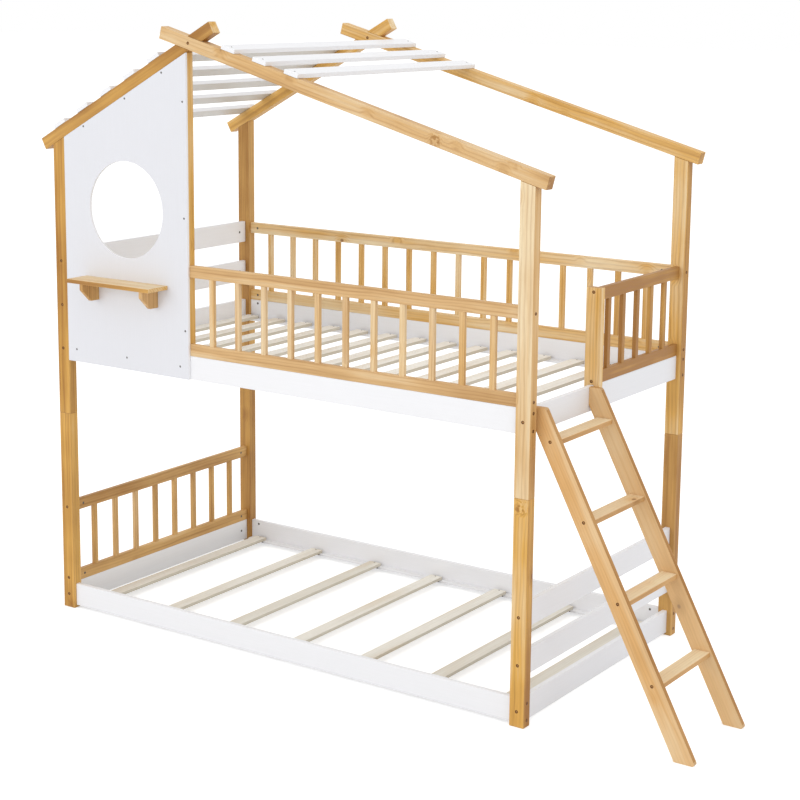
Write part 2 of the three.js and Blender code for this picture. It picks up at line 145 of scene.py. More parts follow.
class BedColours(bpy.types.PropertyGroup):
    """Colours of the bed's finishes"""
    pine_pale: FloatVectorProperty(
        name="Pale pine", description="The pine's palest boards", subtype="COLOR",
        default=display(240, 220, 182), min=0, max=1)
    pine_honey: FloatVectorProperty(
        name="Honey pine", description="The pine's middle boards", subtype="COLOR",
        default=display(222, 172, 86), min=0, max=1)
    pine_tan: FloatVectorProperty(
        name="Tan pine", description="The guards' duller, pinker boards", subtype="COLOR",
        default=display(214, 176, 126), min=0, max=1)
    pine_deep: FloatVectorProperty(
        name="Deep pine", description="The pine's darkest boards", subtype="COLOR",
        default=display(160, 109, 42), min=0, max=1)
    ladder_honey: FloatVectorProperty(
        name="Ladder pine", description="The ladder's calmer, pinker pine", subtype="COLOR",
        default=display(220, 173, 112), min=0, max=1)
    pine_late: FloatVectorProperty(
        name="Late wood", description="The pine's growth lines", subtype="COLOR",
        default=display(150, 92, 36), min=0, max=1)
    knot: FloatVectorProperty(
        name="Knots", description="The middle of the pine's knots", subtype="COLOR",
        default=display(122, 70, 34), min=0, max=1)
    paint: FloatVectorProperty(
        name="White paint", description="The painted boards", subtype="COLOR",
        default=display(243, 243, 245), min=0, max=1)
    # Also mixed into the right end rails' and boards' faces to the side, as painted shade.
    paint_cool: FloatVectorProperty(
        name="Cool paint", description="The panel's paint, a tone darker and cooler", subtype="COLOR",
        default=display(220, 221, 227), min=0, max=1)
    # Painted shade: the grey that the roof slats' downward faces are darkened to.
    paint_under_shade: FloatVectorProperty(
        name="Underside shade", description="The roof slats' undersides, darkened as painted shade", subtype="COLOR",
        default=display(207, 204, 197), min=0, max=1)
    raw: FloatVectorProperty(
        name="Slat top", description="The raw slats' planed faces", subtype="COLOR",
        default=display(251, 248, 240), min=0, max=1)
    raw_warm: FloatVectorProperty(
        name="Slat stain", description="Warmer patches in the raw slats", subtype="COLOR",
        default=display(224, 196, 160), min=0, max=1)
    # The slats' side faces take this colour partly as painted shade.
    raw_edge: FloatVectorProperty(
        name="Slat edge", description="The raw slats' sawn edges", subtype="COLOR",
        default=display(204, 196, 178), min=0, max=1)
    steel: FloatVectorProperty(
        name="Steel", description="Cross nuts and screws", subtype="COLOR",
        default=display(92, 88, 84), min=0, max=1)
    # Painted shade: the dark collars stand for the shade of each bolt's recess.
    collar_shade: FloatVectorProperty(
        name="Collar shade", description="The collars of the bolts in posts, roof and ladder", subtype="COLOR",
        default=display(92, 54, 26), min=0, max=1)
    brass: FloatVectorProperty(
        name="Brass", description="The heads inside the bolts' collars", subtype="COLOR",
        default=display(176, 132, 82), min=0, max=1)
    floor: FloatVectorProperty(
        name="Floor", description="The floor that the bed stands on", subtype="COLOR",
        default=(0.8, 0.8, 0.8), min=0, max=1)


def sizes():
    return bpy.context.scene.bunk_bed_sizes


def colours():
    return bpy.context.scene.bunk_bed_colours


# Nodes of finishes, light and shapes

class NodeMaker:
    """A node tree under construction, with short calls for its nodes"""

    def __init__(self, tree):
        self.nodes = tree.nodes
        self.links = tree.links

    def feed(self, socket, value):
        """Gives a socket a number, or what comes out of another socket."""
        if isinstance(value, bpy.types.NodeSocket):
            self.links.new(value, socket)
        else:
            socket.default_value = value

    def node(self, kind, settings=None, **inputs):
        made = self.nodes.new(kind)
        for key, value in (settings or {}).items():
            setattr(made, key, value)
        for key, value in inputs.items():
            self.feed(made.inputs[key.replace("_", " ")], value)
        return made

    def maths(self, operation, *values):
        made = self.node("ShaderNodeMath", {"operation": operation})
        for socket, value in zip(made.inputs, values):
            self.feed(socket, value)
        return made.outputs["Value"]

    def vector(self, operation, *values):
        made = self.node("ShaderNodeVectorMath", {"operation": operation})
        for socket, value in zip(made.inputs, values):
            self.feed(socket, value)
        measures = ("LENGTH", "DISTANCE", "DOT_PRODUCT")
        return made.outputs["Value" if operation in measures else "Vector"]

    def plus(self, first, *others):
        for other in others:
            first = self.maths("ADD", first, other)
        return first

    def times(self, first, second):
        return self.maths("MULTIPLY", first, second)

    def swing(self, pattern, reach):
        """A pattern of 0 to 1 as a swing to both sides of 0."""
        return self.times(self.maths("SUBTRACT", pattern, 0.5), reach)

    def ramp(self, value, low, high, start=0.0, end=1.0):
        """A smooth step of a value between two edges."""
        made = self.node("ShaderNodeMapRange", {"interpolation_type": "SMOOTHSTEP"}, Value=value,
                         From_Min=low, From_Max=high, To_Min=start, To_Max=end)
        return made.outputs["Result"]

    def seen(self):
        """1 for rays from the eye, from gloss and through glass, and 0 for those that light the bed."""
        rays = self.node("ShaderNodeLightPath").outputs
        direct = self.maths("MAXIMUM", rays["Is Camera Ray"], rays["Is Glossy Ray"])
        return self.maths("MAXIMUM", direct, rays["Is Transmission Ray"])


class Finish(NodeMaker):
    """A material under construction"""

    def __init__(self, name):
        self.material = bpy.data.materials.new(name)
        self.material.use_nodes = True
        super().__init__(self.material.node_tree)
        self.shader = self.nodes["Principled BSDF"]

    def dress(self, **inputs):
        """Fills the shader's sockets, and gives the finished material."""
        for key, value in inputs.items():
            self.feed(self.shader.inputs[key.replace("_", " ")], value)
        return self.material

    def mix(self, share, first, second):
        """A share of the second colour over the first."""
        made = self.node("ShaderNodeMix", {"data_type": "RGBA"})
        sockets = {socket.identifier: socket for socket in (*made.inputs, *made.outputs)}
        self.feed(sockets["Factor_Float"], share)
        self.feed(sockets["A_Color"], self.full(first))
        self.feed(sockets["B_Color"], self.full(second))
        return sockets["Result_Color"]

    @staticmethod
    def full(colour):
        """A colour with the fourth number that a socket asks for."""
        return colour if isinstance(colour, bpy.types.NodeSocket) else (*colour, 1)

    def noise(self, place, scale, detail=2.0, roughness=0.5):
        made = self.node("ShaderNodeTexNoise", Vector=place, Scale=scale, Detail=detail,
                         Roughness=roughness)
        return made.outputs["Fac"]

    def long_noise(self, place, across, along, detail=2.0, roughness=0.5):
        """A noise drawn out along the grain, by its scale across the grain and its scale along it."""
        drawn_out = self.vector("MULTIPLY", place, (across, across, along))
        return self.noise(drawn_out, 1.0, detail, roughness)

    def bump(self, height, distance, strength):
        made = self.node("ShaderNodeBump", Height=height, Distance=distance, Strength=strength)
        return made.outputs["Normal"]

    def own(self, name, output="Fac"):
        """A number or place that each board carries for itself."""
        made = self.node("ShaderNodeAttribute", {"attribute_type": "OBJECT", "attribute_name": name})
        return made.outputs[output]

    def place(self):
        """The place on the bed, in metres."""
        return self.node("ShaderNodeTexCoord").outputs["Object"]

    def facing(self):
        """The direction that a face looks in."""
        return self.node("ShaderNodeNewGeometry").outputs["Normal"]

    def upward(self, vector):
        """The upward part of a place or a direction."""
        return self.node("ShaderNodeSeparateXYZ", Vector=vector).outputs["Z"]

    def worn_edges(self, low, high, most):
        """Outer edges, where a hand or a brush takes the finish off."""
        pointed = self.node("ShaderNodeNewGeometry").outputs["Pointiness"]
        return self.ramp(pointed, low, high, end=most)

    def tone(self):
        """A board's tone, which may differ on its faces to the side, to the front and upwards: partly the
        wood's own tone and partly painted shade, set darker on faces that get less light.
        """
        squares = self.vector("MULTIPLY", self.facing(), self.facing())
        return self.vector("DOT_PRODUCT", squares, self.own("tones", "Vector"))

    def end_face(self, turn):
        """Where a face cuts across the grain."""
        along = turn.to_matrix().transposed() @ Vector((0, 0, 1))
        lean = self.maths("ABSOLUTE", self.vector("DOT_PRODUCT", self.facing(), tuple(along)))
        return self.ramp(lean, 0.75, 0.95)

    def grain_place(self, turn):
        """A place counted from the board's own heart, with the grain along the last axis."""
        from_heart = self.vector("SUBTRACT", self.place(), self.own("heart", "Vector"))
        turned = self.node("ShaderNodeVectorRotate", {"rotation_type": "EULER_XYZ"},
                           Vector=from_heart, Rotation=tuple(turn))
        return turned.outputs["Vector"]

    def late_wood(self, place, gap, along, swell=0.0):
        """Growth lines at a gap round the heart, which wander along the grain and bend by a swell."""
        wander = self.long_noise(place, across=8, along=along, detail=3.0)
        from_heart = self.vector("LENGTH", self.vector("MULTIPLY", place, (1, 1, 0)))
        ring_place = self.plus(from_heart, self.swing(wander, 30 * MM), swell)
        wave = self.maths("SINE", self.times(ring_place, 2 * math.pi / gap))
        return self.ramp(wave, -0.2, 1.0)

    def knots(self, place):
        """Cores of knots and the wider halos round them, in about half of the wood's cells."""
        cells = self.node("ShaderNodeTexVoronoi", {"feature": "F1"}, Scale=KNOT_SCALE, Randomness=1.0,
                          Vector=self.vector("MULTIPLY", place, (1, 1, 0.75)))
        draw = self.node("ShaderNodeSeparateColor", Color=cells.outputs["Color"]).outputs["Red"]
        chosen = self.ramp(draw, 0.50, 0.52)
        distance = self.maths("DIVIDE", cells.outputs["Distance"], KNOT_SCALE)
        core = self.times(self.ramp(distance, 8.5 * MM, 5 * MM), chosen)
        halo = self.times(self.ramp(distance, 34 * MM, 6 * MM), chosen)
        return core, halo

    def swirl(self):
        """The swirl in the grain round a place that a board carries for itself."""
        from_middle = self.vector("SUBTRACT", self.place(), self.own("swirl", "Vector"))
        return self.ramp(self.vector("LENGTH", from_middle), 34 * MM, 10 * MM)


# Finishes

# How many cells the wood has to a metre. A knot lies in about half of them.
KNOT_SCALE = 8.5
PINE_RING_GAP = 8.5 * MM
SLAT_RING_GAP = 7.5 * MM
# Heights between which the upper front right post gets darker towards its joint
FOOT_BOTTOM = 740 * MM
FOOT_TOP = 1300 * MM
PAINT_CLOUD = (0.66, 0.67, 0.70)
PAINT_GRAIN = (0.55, 0.54, 0.52)


def lacquered_pine(name, turn, honey=None, figure=1.0):
    """Clear lacquered pine: soft growth lines round a heart, streaks, fibres and knots."""
    made = Finish(name)
    place = made.grain_place(turn)
    core, halo = made.knots(place)
    swirl = made.swirl()
    swell = made.times(made.plus(halo, swirl), 16 * MM)
    late = made.late_wood(place, PINE_RING_GAP, along=1.8, swell=swell)
    streak = made.long_noise(place, across=55, along=1.4, detail=3.0, roughness=0.6)
    broad = made.long_noise(place, across=13, along=1.5)
    patch = made.long_noise(place, across=3.5, along=3.5)
    fibre = made.long_noise(place, across=900, along=22)
    pores = made.long_noise(place, across=2600, along=90, detail=1.0)
    speckle = made.times(swirl, made.ramp(made.noise(place, 75), 0.42, 0.60))

    # How deep the colour is: the board's tone on each face, partly its own and partly painted shade, its
    # ends and foot, and then its figure
    foot = made.times(made.ramp(made.upward(made.place()), FOOT_TOP, FOOT_BOTTOM), made.own("foot_tone"))
    tone = made.plus(made.tone(), foot)
    to_end_tone = made.maths("SUBTRACT", made.own("end_tone"), tone)
    depth = made.plus(tone, made.times(made.end_face(turn), to_end_tone))
    for pattern, reach in ((broad, 0.80 * figure), (streak, 0.80 * figure), (patch, 0.65)):
        depth = made.plus(depth, made.swing(pattern, reach))
    depth = made.plus(depth, made.times(halo, 0.22), made.times(speckle, 0.45))

    # From pale to honey or tan in the lower half of the depth, and on to the deepest in the upper half
    halfway = made.mix(made.own("tan"), honey or colours().pine_honey, colours().pine_tan)
    body = made.mix(made.times(depth, 2.0), colours().pine_pale, halfway)
    body = made.mix(made.maths("MULTIPLY_ADD", depth, 2.0, -1.0), body, colours().pine_deep)
    lines = made.times(late, made.ramp(streak, 0.30, 0.70, start=0.07 * figure, end=0.36 * figure))
    body = made.mix(lines, body, colours().pine_late)
    body = made.mix(made.ramp(fibre, 0.62, 0.30, end=0.12), body, colours().pine_late)
    body = made.mix(made.times(core, 0.80), body, colours().knot)
    body = made.mix(made.worn_edges(0.53, 0.60, most=0.25), body, colours().pine_pale)

    rough = made.plus(made.times(fibre, 0.10), made.times(late, -0.06), 0.46)
    relief = made.plus(made.times(late, 0.25), made.times(fibre, 0.5), made.times(pores, 0.25))
    return made.dress(Base_Color=body, Roughness=rough, Specular_IOR_Level=0.28, Coat_Weight=0.06,
                      Coat_Roughness=0.30, Normal=made.bump(relief, 0.2 * MM, 0.8))


def ladder_pine(name, turn):
    """The ladder's pine, with a calmer figure than the posts'."""
    return lacquered_pine(name, turn, colours().ladder_honey, 0.45)


def white_paint(name, turn):
    """Satin white paint: faint grain and roller marks, and edges that the paint has left thin."""
    made = Finish(name)
    place = made.grain_place(turn)
    cloud = made.long_noise(place, across=4, along=1.2, detail=3.0)
    grain = made.long_noise(place, across=320, along=7, detail=3.0)
    roller = made.noise(place, 1100)
    # Each face's tone, darker partly as painted shade where less light falls.
    shade = made.mix(made.tone(), colours().paint, colours().paint_cool)
    # Painted shade: downward faces turn grey by the board's under share.
    under = made.times(made.ramp(made.upward(made.facing()), -0.3, -0.8), made.own("under"))
    shade = made.mix(under, shade, colours().paint_under_shade)
    shade = made.mix(made.ramp(cloud, 0.3, 0.7, end=0.05), shade, PAINT_CLOUD)
    shade = made.mix(made.ramp(grain, 0.60, 0.38, end=0.035), shade, PAINT_GRAIN)
    shade = made.mix(made.worn_edges(0.54, 0.62, most=0.12), shade, colours().raw_edge)
    rough = made.plus(made.times(roller, 0.12), 0.34)
    relief = made.plus(made.times(grain, 0.6), made.times(roller, 0.4))
    return made.dress(Base_Color=shade, Roughness=rough, Coat_Weight=0.08, Coat_Roughness=0.25,
                      Normal=made.bump(relief, 0.12 * MM, 0.7))


def raw_board(name, turn):
    """Raw sawn softwood: pale grey planed faces and darker sawn edges, partly their own colour and partly
    painted shade; no lacquer.
    """
    made = Finish(name)
    place = made.grain_place(turn)
    late = made.late_wood(place, SLAT_RING_GAP, along=1.6)
    streak = made.long_noise(place, across=70, along=1.5, detail=3.0, roughness=0.6)
    patch = made.long_noise(place, across=12, along=2.0)
    fibre = made.long_noise(place, across=850, along=18)
    depth = made.plus(made.tone(), made.swing(streak, 0.45), made.swing(patch, 0.75))
    body = made.mix(depth, colours().raw, colours().raw_edge)
    body = made.mix(made.ramp(patch, 0.45, 0.75, end=0.30), body, colours().raw_warm)
    body = made.mix(made.times(late, 0.16), body, colours().raw_edge)
    body = made.mix(made.ramp(fibre, 0.62, 0.32, end=0.16), body, colours().raw_edge)
    rough = made.plus(made.times(fibre, 0.14), 0.68)
    relief = made.plus(made.times(late, 0.3), made.times(fibre, 0.9))
    return made.dress(Base_Color=body, Roughness=rough, Normal=made.bump(relief, 0.4 * MM, 0.8))


def plated_metal(name, colour, worn_colour):
    """Plated metal, with fine turning marks and a little wear."""
    made = Finish(name)
    speck = made.noise(made.place(), 900, detail=3.0)
    wear = made.noise(made.place(), 260)
    body = made.mix(made.ramp(wear, 0.55, 0.75, end=0.4), colour, worn_colour)
    rough = made.plus(made.times(speck, 0.2), 0.34)
    return made.dress(Base_Color=body, Metallic=0.7, Roughness=rough,
                      Normal=made.bump(speck, 0.05 * MM, 0.5))


FINISHES = {
    "pine": (lacquered_pine, "Lacquered pine"),
    "pale_pine": (ladder_pine, "Ladder pine"),
    "white_paint": (white_paint, "White paint"),
    "raw_slat": (raw_board, "Raw slat wood"),
}


@functools.cache
def finish(slot_name, direction):
    """The finish of a slot with its grain in one direction, made once."""
    make, words = FINISHES[slot_name]
    return make(f"{words} {direction.replace('_', ' ')}", GRAIN_TURNS[direction])


@functools.cache
def metal(name):
    """The dark collars' painted shade, the brass of the bolts and the steel of nuts and screws, each made
    once.
    """
    colour, worn_colour = {
        "Collar shade": (colours().collar_shade, display(126, 82, 46)),
        "Brass": (colours().brass, display(206, 168, 116)),
        "Steel": (colours().steel, display(150, 146, 140)),
    }[name]
    return plated_metal(name, colour, worn_colour)


# Boards

def spread(count, seed):
    """A number from 0 to 1 that differs from one count to the next and never changes."""
    return (math.sin(count * 12.9898 + seed * 78.233) * 43758.5453) % 1.0


BOARD_COUNTS = itertools.count(1)

# A place for the swirl of a board that has none
NOWHERE = (0, 0, -50)


def set_grain(board, low, high, tones, end_tone=0.75, swirl=NOWHERE, under=0.0, tan=0.0,
              foot_tone=0.0):
    """Tells a board what its finish asks of it.

    Its tones are how dark it is to the side, to the front and upwards, or one number for all
    three: partly the board's own tone and partly painted shade on faces that get less light.
    Its under share darkens its downward faces grey, as painted shade. Its heart is where the
    middle of its tree lay, a little way outside the board.
    """
    count = next(BOARD_COUNTS)
    turn = 2 * math.pi * spread(count, 1)
    reach = (35 + 45 * spread(count, 2)) * MM
    centre = (low + high) / 2
    away = Vector((math.cos(turn), math.sin(turn) * 0.8, math.sin(turn + 1.1))) * reach
    board["tones"] = tones if isinstance(tones, tuple) else (tones, tones, tones)
    board["end_tone"] = end_tone
    board["under"] = under
    board["tan"] = tan
    board["foot_tone"] = foot_tone
    board["swirl"] = tuple(swirl)
    board["heart"] = tuple(centre + away + Vector((1, 1, 1)) * 0.37 * spread(count, 3))


# Edges that bend less than this, in degrees, or are shorter than this aren't rounded.
EASED_BEND = 34
EASED_LENGTH = 4 * MM
# Edges that bend more than this, in degrees, stay crisp after the rounding.
CRISP_BEND = 50


class ShapeGroup(NodeMaker):
    """A node group that changes a shape in a row of steps"""

    def __init__(self, name, *kinds):
        self.group = bpy.data.node_groups.new(name, "GeometryNodeTree")
        super().__init__(self.group)
        for way in ("INPUT", "OUTPUT"):
            self.group.interface.new_socket("Geometry", in_out=way, socket_type="NodeSocketGeometry")
        shape = self.node("NodeGroupInput").outputs[0]
        self.steps = []
        for kind in kinds:
            self.steps.append(self.node(kind, Geometry=shape))
            shape = self.steps[-1].outputs["Geometry"]
        self.feed(self.node("NodeGroupOutput").inputs[0], shape)

    def sharp(self, least):
        """Whether an edge bends by more than an angle in degrees."""
        bend = self.node("GeometryNodeInputMeshEdgeAngle").outputs["Unsigned Angle"]
        return self.maths("GREATER_THAN", bend, math.radians(least))


@functools.cache
def smooth_group():
    """Marks faces smooth, so that rounded edges catch the light, and leaves square edges crisp."""
    made = ShapeGroup("Smooth faces", "GeometryNodeSetShadeSmooth", "GeometryNodeSetShadeSmooth")
    crisp = made.steps[1]
    crisp.domain = "EDGE"
    crisp.inputs["Shade Smooth"].default_value = False
    made.feed(crisp.inputs["Selection"], made.sharp(CRISP_BEND))
    return made.group


@functools.cache
def edge_group():
    """Marks the edges to be rounded: the sharp ones, but not the short ones round the bolts' seats."""
    made = ShapeGroup("Mark long sharp edges", "GeometryNodeStoreNamedAttribute")
    mark = made.steps[0]
    mark.data_type = "FLOAT"
    mark.domain = "EDGE"
    mark.inputs["Name"].default_value = "bevel_weight_edge"
    ends = made.node("GeometryNodeInputMeshEdgeVertices").outputs
    length = made.vector("DISTANCE", ends["Position 1"], ends["Position 2"])
    long = made.maths("GREATER_THAN", length, EASED_LENGTH)
    value = next(socket for socket in mark.inputs if socket.name == "Value" and socket.enabled)
    made.feed(value, made.times(long, made.sharp(EASED_BEND)))
    return made.group


def ease_edges(board, width):
    """Rounds a board's edges with modifiers, so that its mesh stays as it is."""
    weld = board.modifiers.new("Join corners", "WELD")
    weld.merge_threshold = 0.01 * MM
    whole = board.modifiers.new("Whole faces", "DECIMATE")
    whole.decimate_type = "DISSOLVE"
    whole.angle_limit = math.radians(0.5)
    marked = board.modifiers.new("Long edges", "NODES")
    marked.node_group = edge_group()
    ease = board.modifiers.new("Eased edges", "BEVEL")
    ease.width = width
    ease.segments = sizes().ease_steps
    ease.limit_method = "WEIGHT"
    ease.use_clamp_overlap = False
    ease.loop_slide = False
    smooth = board.modifiers.new("Smooth faces", "NODES")
    smooth.node_group = smooth_group()
    even = board.modifiers.new("Even light", "WEIGHTED_NORMAL")
    even.keep_sharp = True


def finish_node(name, slot_name, direction, ease, tones, **grain):
    """Gives a board of the CAD model its finish and eased edges."""
    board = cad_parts[name]
    board.data.materials.clear()
    board.data.materials.append(finish(slot_name, direction))
    low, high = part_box(name)
    set_grain(board, low, high, tones, **grain)
    ease_edges(board, ease)


def add_object(name, mesh, material):
    piece = bpy.data.objects.new(name, mesh)
    bpy.context.scene.collection.objects.link(piece)
    mesh.materials.append(material)
    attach(piece, "root")
    return piece


def add_board(name, low, high, slot_name, direction, ease, tones, replaced, **grain):
    """A straight board with rounded edges between two corners, in place of a CAD node."""
    shape = bmesh.new()
    bmesh.ops.create_cube(shape, size=1.0)
    centre = (low + high) / 2
    extent = high - low
    for vert in shape.verts:
        vert.co = Vector([c + v * e for c, v, e in zip(centre, vert.co, extent)])
    bmesh.ops.bevel(shape, geom=shape.edges[:], offset=ease, segments=sizes().ease_steps,
                    profile=0.5, affect="EDGES", clamp_overlap=True)
    for face in shape.faces:
        face.smooth = True
    mesh = bpy.data.meshes.new(name)
    shape.to_mesh(mesh)
    shape.free()
    piece = add_object(name, mesh, finish(slot_name, direction))
    set_grain(piece, low, high, tones, **grain)
    even = piece.modifiers.new("Even light", "WEIGHTED_NORMAL")
    even.keep_sharp = True
    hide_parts(replaced)


# Bolts, nuts and screws

BOLT_LENGTH = 5 * MM
# How far a cross nut stands out of its rail
NUT_LIFT = 0.3 * MM


def circle(radius, height, steps=24):
    """Corners round an upright axis."""
    angles = [2 * math.pi * step / steps for step in range(steps)]
    return [(radius * math.cos(angle), radius * math.sin(angle), height) for angle in angles]


def hexagon(radius, height, steps=24):
    """As many corners on a six-sided outline that a circle of the radius fits into."""
    corners = []
    for step in range(steps):
        angle = 2 * math.pi * step / steps
        from_flat = (angle + math.pi / 6) % (math.pi / 3) - math.pi / 6
        reach = radius / math.cos(from_flat)
        corners.append((reach * math.cos(angle), reach * math.sin(angle), height))
    return corners


def skin(shape, face, axis, outlines, material=0):
    """A closed skin over a row of outlines, which starts on a face and follows an axis."""
    turn = Vector((0, 0, 1)).rotation_difference(axis)
    rings = [[shape.verts.new(face + turn @ Vector(corner)) for corner in outline]
             for outline in outlines]
    steps = len(rings[0])
    faces = []
    for below, above in zip(rings, rings[1:]):
        for step in range(steps):
            after = (step + 1) % steps
            faces.append(shape.faces.new((below[step], below[after], above[after], above[step])))
    faces += [shape.faces.new(list(reversed(rings[0]))), shape.faces.new(rings[-1])]
    for made in faces:
        made.material_index = material


def bolt_head(shape, face, axis, radius=None):
    """A bolt: a dark collar on the wood's face, painted shade of the bolt's recess, and a paler head with
    a six-sided key hole in it.
    """
    radius = radius or sizes().bolt_radius
    depth = sizes().bolt_depth
    bore = radius * 0.56
    hole = radius * 0.20
    proud = radius * 0.07
    collar = (
        (radius * 0.80, -BOLT_LENGTH), (radius * 0.80, -proud), (radius, -proud),
        (radius, proud * 0.4), (radius * 0.94, proud), (bore * 1.08, proud), (bore, -proud),
        (bore * 0.98, -BOLT_LENGTH * 0.8),
    )
    head = (
        (bore * 0.92, -BOLT_LENGTH * 0.7), (bore * 0.92, -depth * 1.3), (bore * 0.80, -depth),
        (hole * 1.2, -depth),
    )
    key_hole = ((hole, -depth - radius * 0.03), (hole, -depth - radius * 0.30))
    skin(shape, face, axis, [circle(*ring) for ring in collar])
    skin(shape, face, axis,
         [circle(*ring) for ring in head] + [hexagon(*ring) for ring in key_hole], material=1)


def cross_nut(shape, face, axis):
    """A flat round nut with a dimple in its middle."""
    radius = sizes().nut_radius
    profile = (
        (radius, -1.5 * MM), (radius, NUT_LIFT * 0.4), (radius * 0.92, NUT_LIFT),
        (radius * 0.60, NUT_LIFT), (radius * 0.52, NUT_LIFT * 0.2), (radius * 0.16, NUT_LIFT * 0.1),
    )
    skin(shape, face, axis, [circle(*ring) for ring in profile])


def cross_head(shape, face, axis, radius):
    """A low domed screw head with a cross cut into it."""
    steps = 32
    arm = radius * 0.62
    half = radius * 0.14
    dome = 0.22
    # Rings as shares of the radius, with their heights: outside the cross, and on its floor
    rim = ((1.0, -0.12), (1.0, 0.03), (0.86, 0.15), (0.66, 0.21))
    cross = ((0.64, 0.21), (0.36, 0.02), (0.10, -0.05))
    outlines = []
    for share, height in rim + cross:
        outline = []
        for step in range(steps):
            angle = 2 * math.pi * (step + 0.5) / steps
            x = radius * share * math.cos(angle)
            y = radius * share * math.sin(angle)
            in_cross = min(abs(x), abs(y)) < half and max(abs(x), abs(y)) < arm
            level = height if (share, height) in rim or in_cross else dome
            outline.append((x, y, radius * level))
        outlines.append(outline)
    skin(shape, face, axis, outlines)


def add_small_parts(name, build, places, materials=("Collar shade", "Brass")):
    """One object that holds a row of like bolts, nuts or screws."""
    shape = bmesh.new()
    for place in places:
        build(shape, *place)
    bmesh.ops.recalc_face_normals(shape, faces=shape.faces[:])
    mesh = bpy.data.meshes.new(name)
    shape.to_mesh(mesh)
    shape.free()
    mesh.shade_smooth()
    mesh.set_sharp_from_angle(angle=math.radians(40))
    add_object(name, mesh, metal(materials[0]))
    for material in materials[1:]:
        mesh.materials.append(metal(material))


# Where things are, from the CAD model

FRONT = Vector((0, -1, 0))
BACK = Vector((0, 1, 0))
LEFT = Vector((-1, 0, 0))
RIGHT = Vector((1, 0, 0))
UP = Vector((0, 0, 1))


def span(name):
    """A node's low and high corner in millimetres from the bed's corner."""
    low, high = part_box(name)
    return [(low - CORNER) / MM, (high - CORNER) / MM]


def middle(name):
    """A node's middle in millimetres from the bed's corner."""
    low, high = span(name)
    return (low + high) / 2


def evenly(first, last, count):
    """Numbers at even steps from a first to a last."""
    return [first + (last - first) * step / (count - 1) for step in range(count)]


LENGTH = span("lower_post_front_right")[1].x
WIDTH = span("lower_post_back_left")[1].y
POST_WIDTH = span("lower_post_front_left")[1].x
POST_DEPTH = span("lower_post_front_left")[1].y
# Heights over the floor of the roof's two eaves, and sizes of boards
LEFT_EAVE = 1718
RIGHT_EAVE = 1703
RAFTER_HEIGHT = 43
ROOF_SLAT_THICKNESS = 15
GUARD_RAIL_HEIGHT = 42
LADDER_TREADS = [f"ladder_tread_{count}" for count in range(1, 5)]
LOWER_SLATS = [f"lower_slat_{count}" for count in range(1, 8)]
ROOF_SLATS = [name for name in sorted(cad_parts) if name.startswith("roof_slat")]
# Middles of the fourteen upper slats along the bed
UPPER_SLATS = evenly(76, LENGTH - 133, 14)
# How far over and under a side rail's middle its two bolts lie
SIDE_BOLT_STEP = 28


def rail_middles(guard):
    """Heights of the middles of a guard's two rails."""
    low, high = span(guard)
    return [low.z + GUARD_RAIL_HEIGHT / 2, high.z - GUARD_RAIL_HEIGHT / 2]


def side_rail_bolts(rail):
    """Heights of a side rail's two bolts, one over the other."""
    return [middle(rail).z - SIDE_BOLT_STEP, middle(rail).z + SIDE_BOLT_STEP]


# The bed's steps

class MakerOperator(bpy.types.Operator):
    """Shared base of the bed's steps"""
    bl_options = {"REGISTER", "UNDO"}


class BUNKBED_OT_posts(MakerOperator):
    """Finish the eight post halves in lacquered pine"""
    bl_idname = "bunk_bed.posts"
    bl_label = "Finish posts"

    # Where the lower front right post has its swirl, and how much its upper half darkens to the joint
    SWIRL = (1960, 0, 712)
    FOOT_TONE = 0.28

    def execute(self, context):
        # Tones of the faces to the side and to the front, and how tan the board is. The side faces are
        # darker partly as painted shade.
        looks = {
            "lower_post_front_left": (0.64, 0.70, 0.0), "upper_post_front_left": (0.80, 0.80, 0.0),
            "lower_post_front_right": (0.70, 0.44, 0.0), "upper_post_front_right": (0.44, 0.08, 0.7),
            "lower_post_back_left": (0.88, 0.82, 0.0), "upper_post_back_left": (0.60, 0.92, 0.2),
            "lower_post_back_right": (0.80, 0.78, 0.2), "upper_post_back_right": (0.78, 0.34, 0.0),
        }
        for name, (side, front, tan) in looks.items():
            swirl = at(*self.SWIRL) if name == "lower_post_front_right" else NOWHERE
            foot_tone = self.FOOT_TONE if name == "upper_post_front_right" else 0.0
            finish_node(name, "pine", "upright", sizes().post_ease, (side, front, side),
                        swirl=swirl, tan=tan, foot_tone=foot_tone)
        finish_node("guard_short_post", "pine", "upright", sizes().post_ease, (0.26, 0.26, 0.30))
        return {"FINISHED"}


class BUNKBED_OT_rails(MakerOperator):
    """Finish the painted rails, end boards and cleats"""
    bl_idname = "bunk_bed.rails"
    bl_label = "Finish rails and end boards"

    def execute(self, context):
        # The right end rails and boards take the cooler, darker paint on their faces to the side, as
        # painted shade.
        for level in ("lower", "upper"):
            for row in ("front", "back"):
                finish_node(f"{level}_{row}_rail", "white_paint", "along", sizes().board_ease, 0.18)
            for side in ("left", "right"):
                finish_node(f"{level}_{side}_end_rail", "white_paint", "across", sizes().board_ease,
                            (0.50 if side == "right" else 0.0, 0.18, 0.18))
        for side in ("left", "right"):
            for height in ("low", "high"):
                finish_node(f"{side}_end_board_{height}", "white_paint", "across", sizes().board_ease,
                            (0.50 if side == "right" else 0.0, 0.20, 0.20))
        for row in ("front", "back"):
            finish_node(f"lower_{row}_cleat", "white_paint", "along", sizes().thin_ease, 0.12)
        return {"FINISHED"}


class BUNKBED_OT_panel(MakerOperator):
    """Finish the window panel and the jamb behind its free edge"""
    bl_idname = "bunk_bed.panel"
    bl_label = "Finish window panel"

    def execute(self, context):
        finish_node("window_panel", "white_paint", "upright", sizes().thin_ease, (0.1, 0.85, 0.1))
        finish_node("panel_jamb", "pine", "upright", sizes().thin_ease, 0.58)
        return {"FINISHED"}


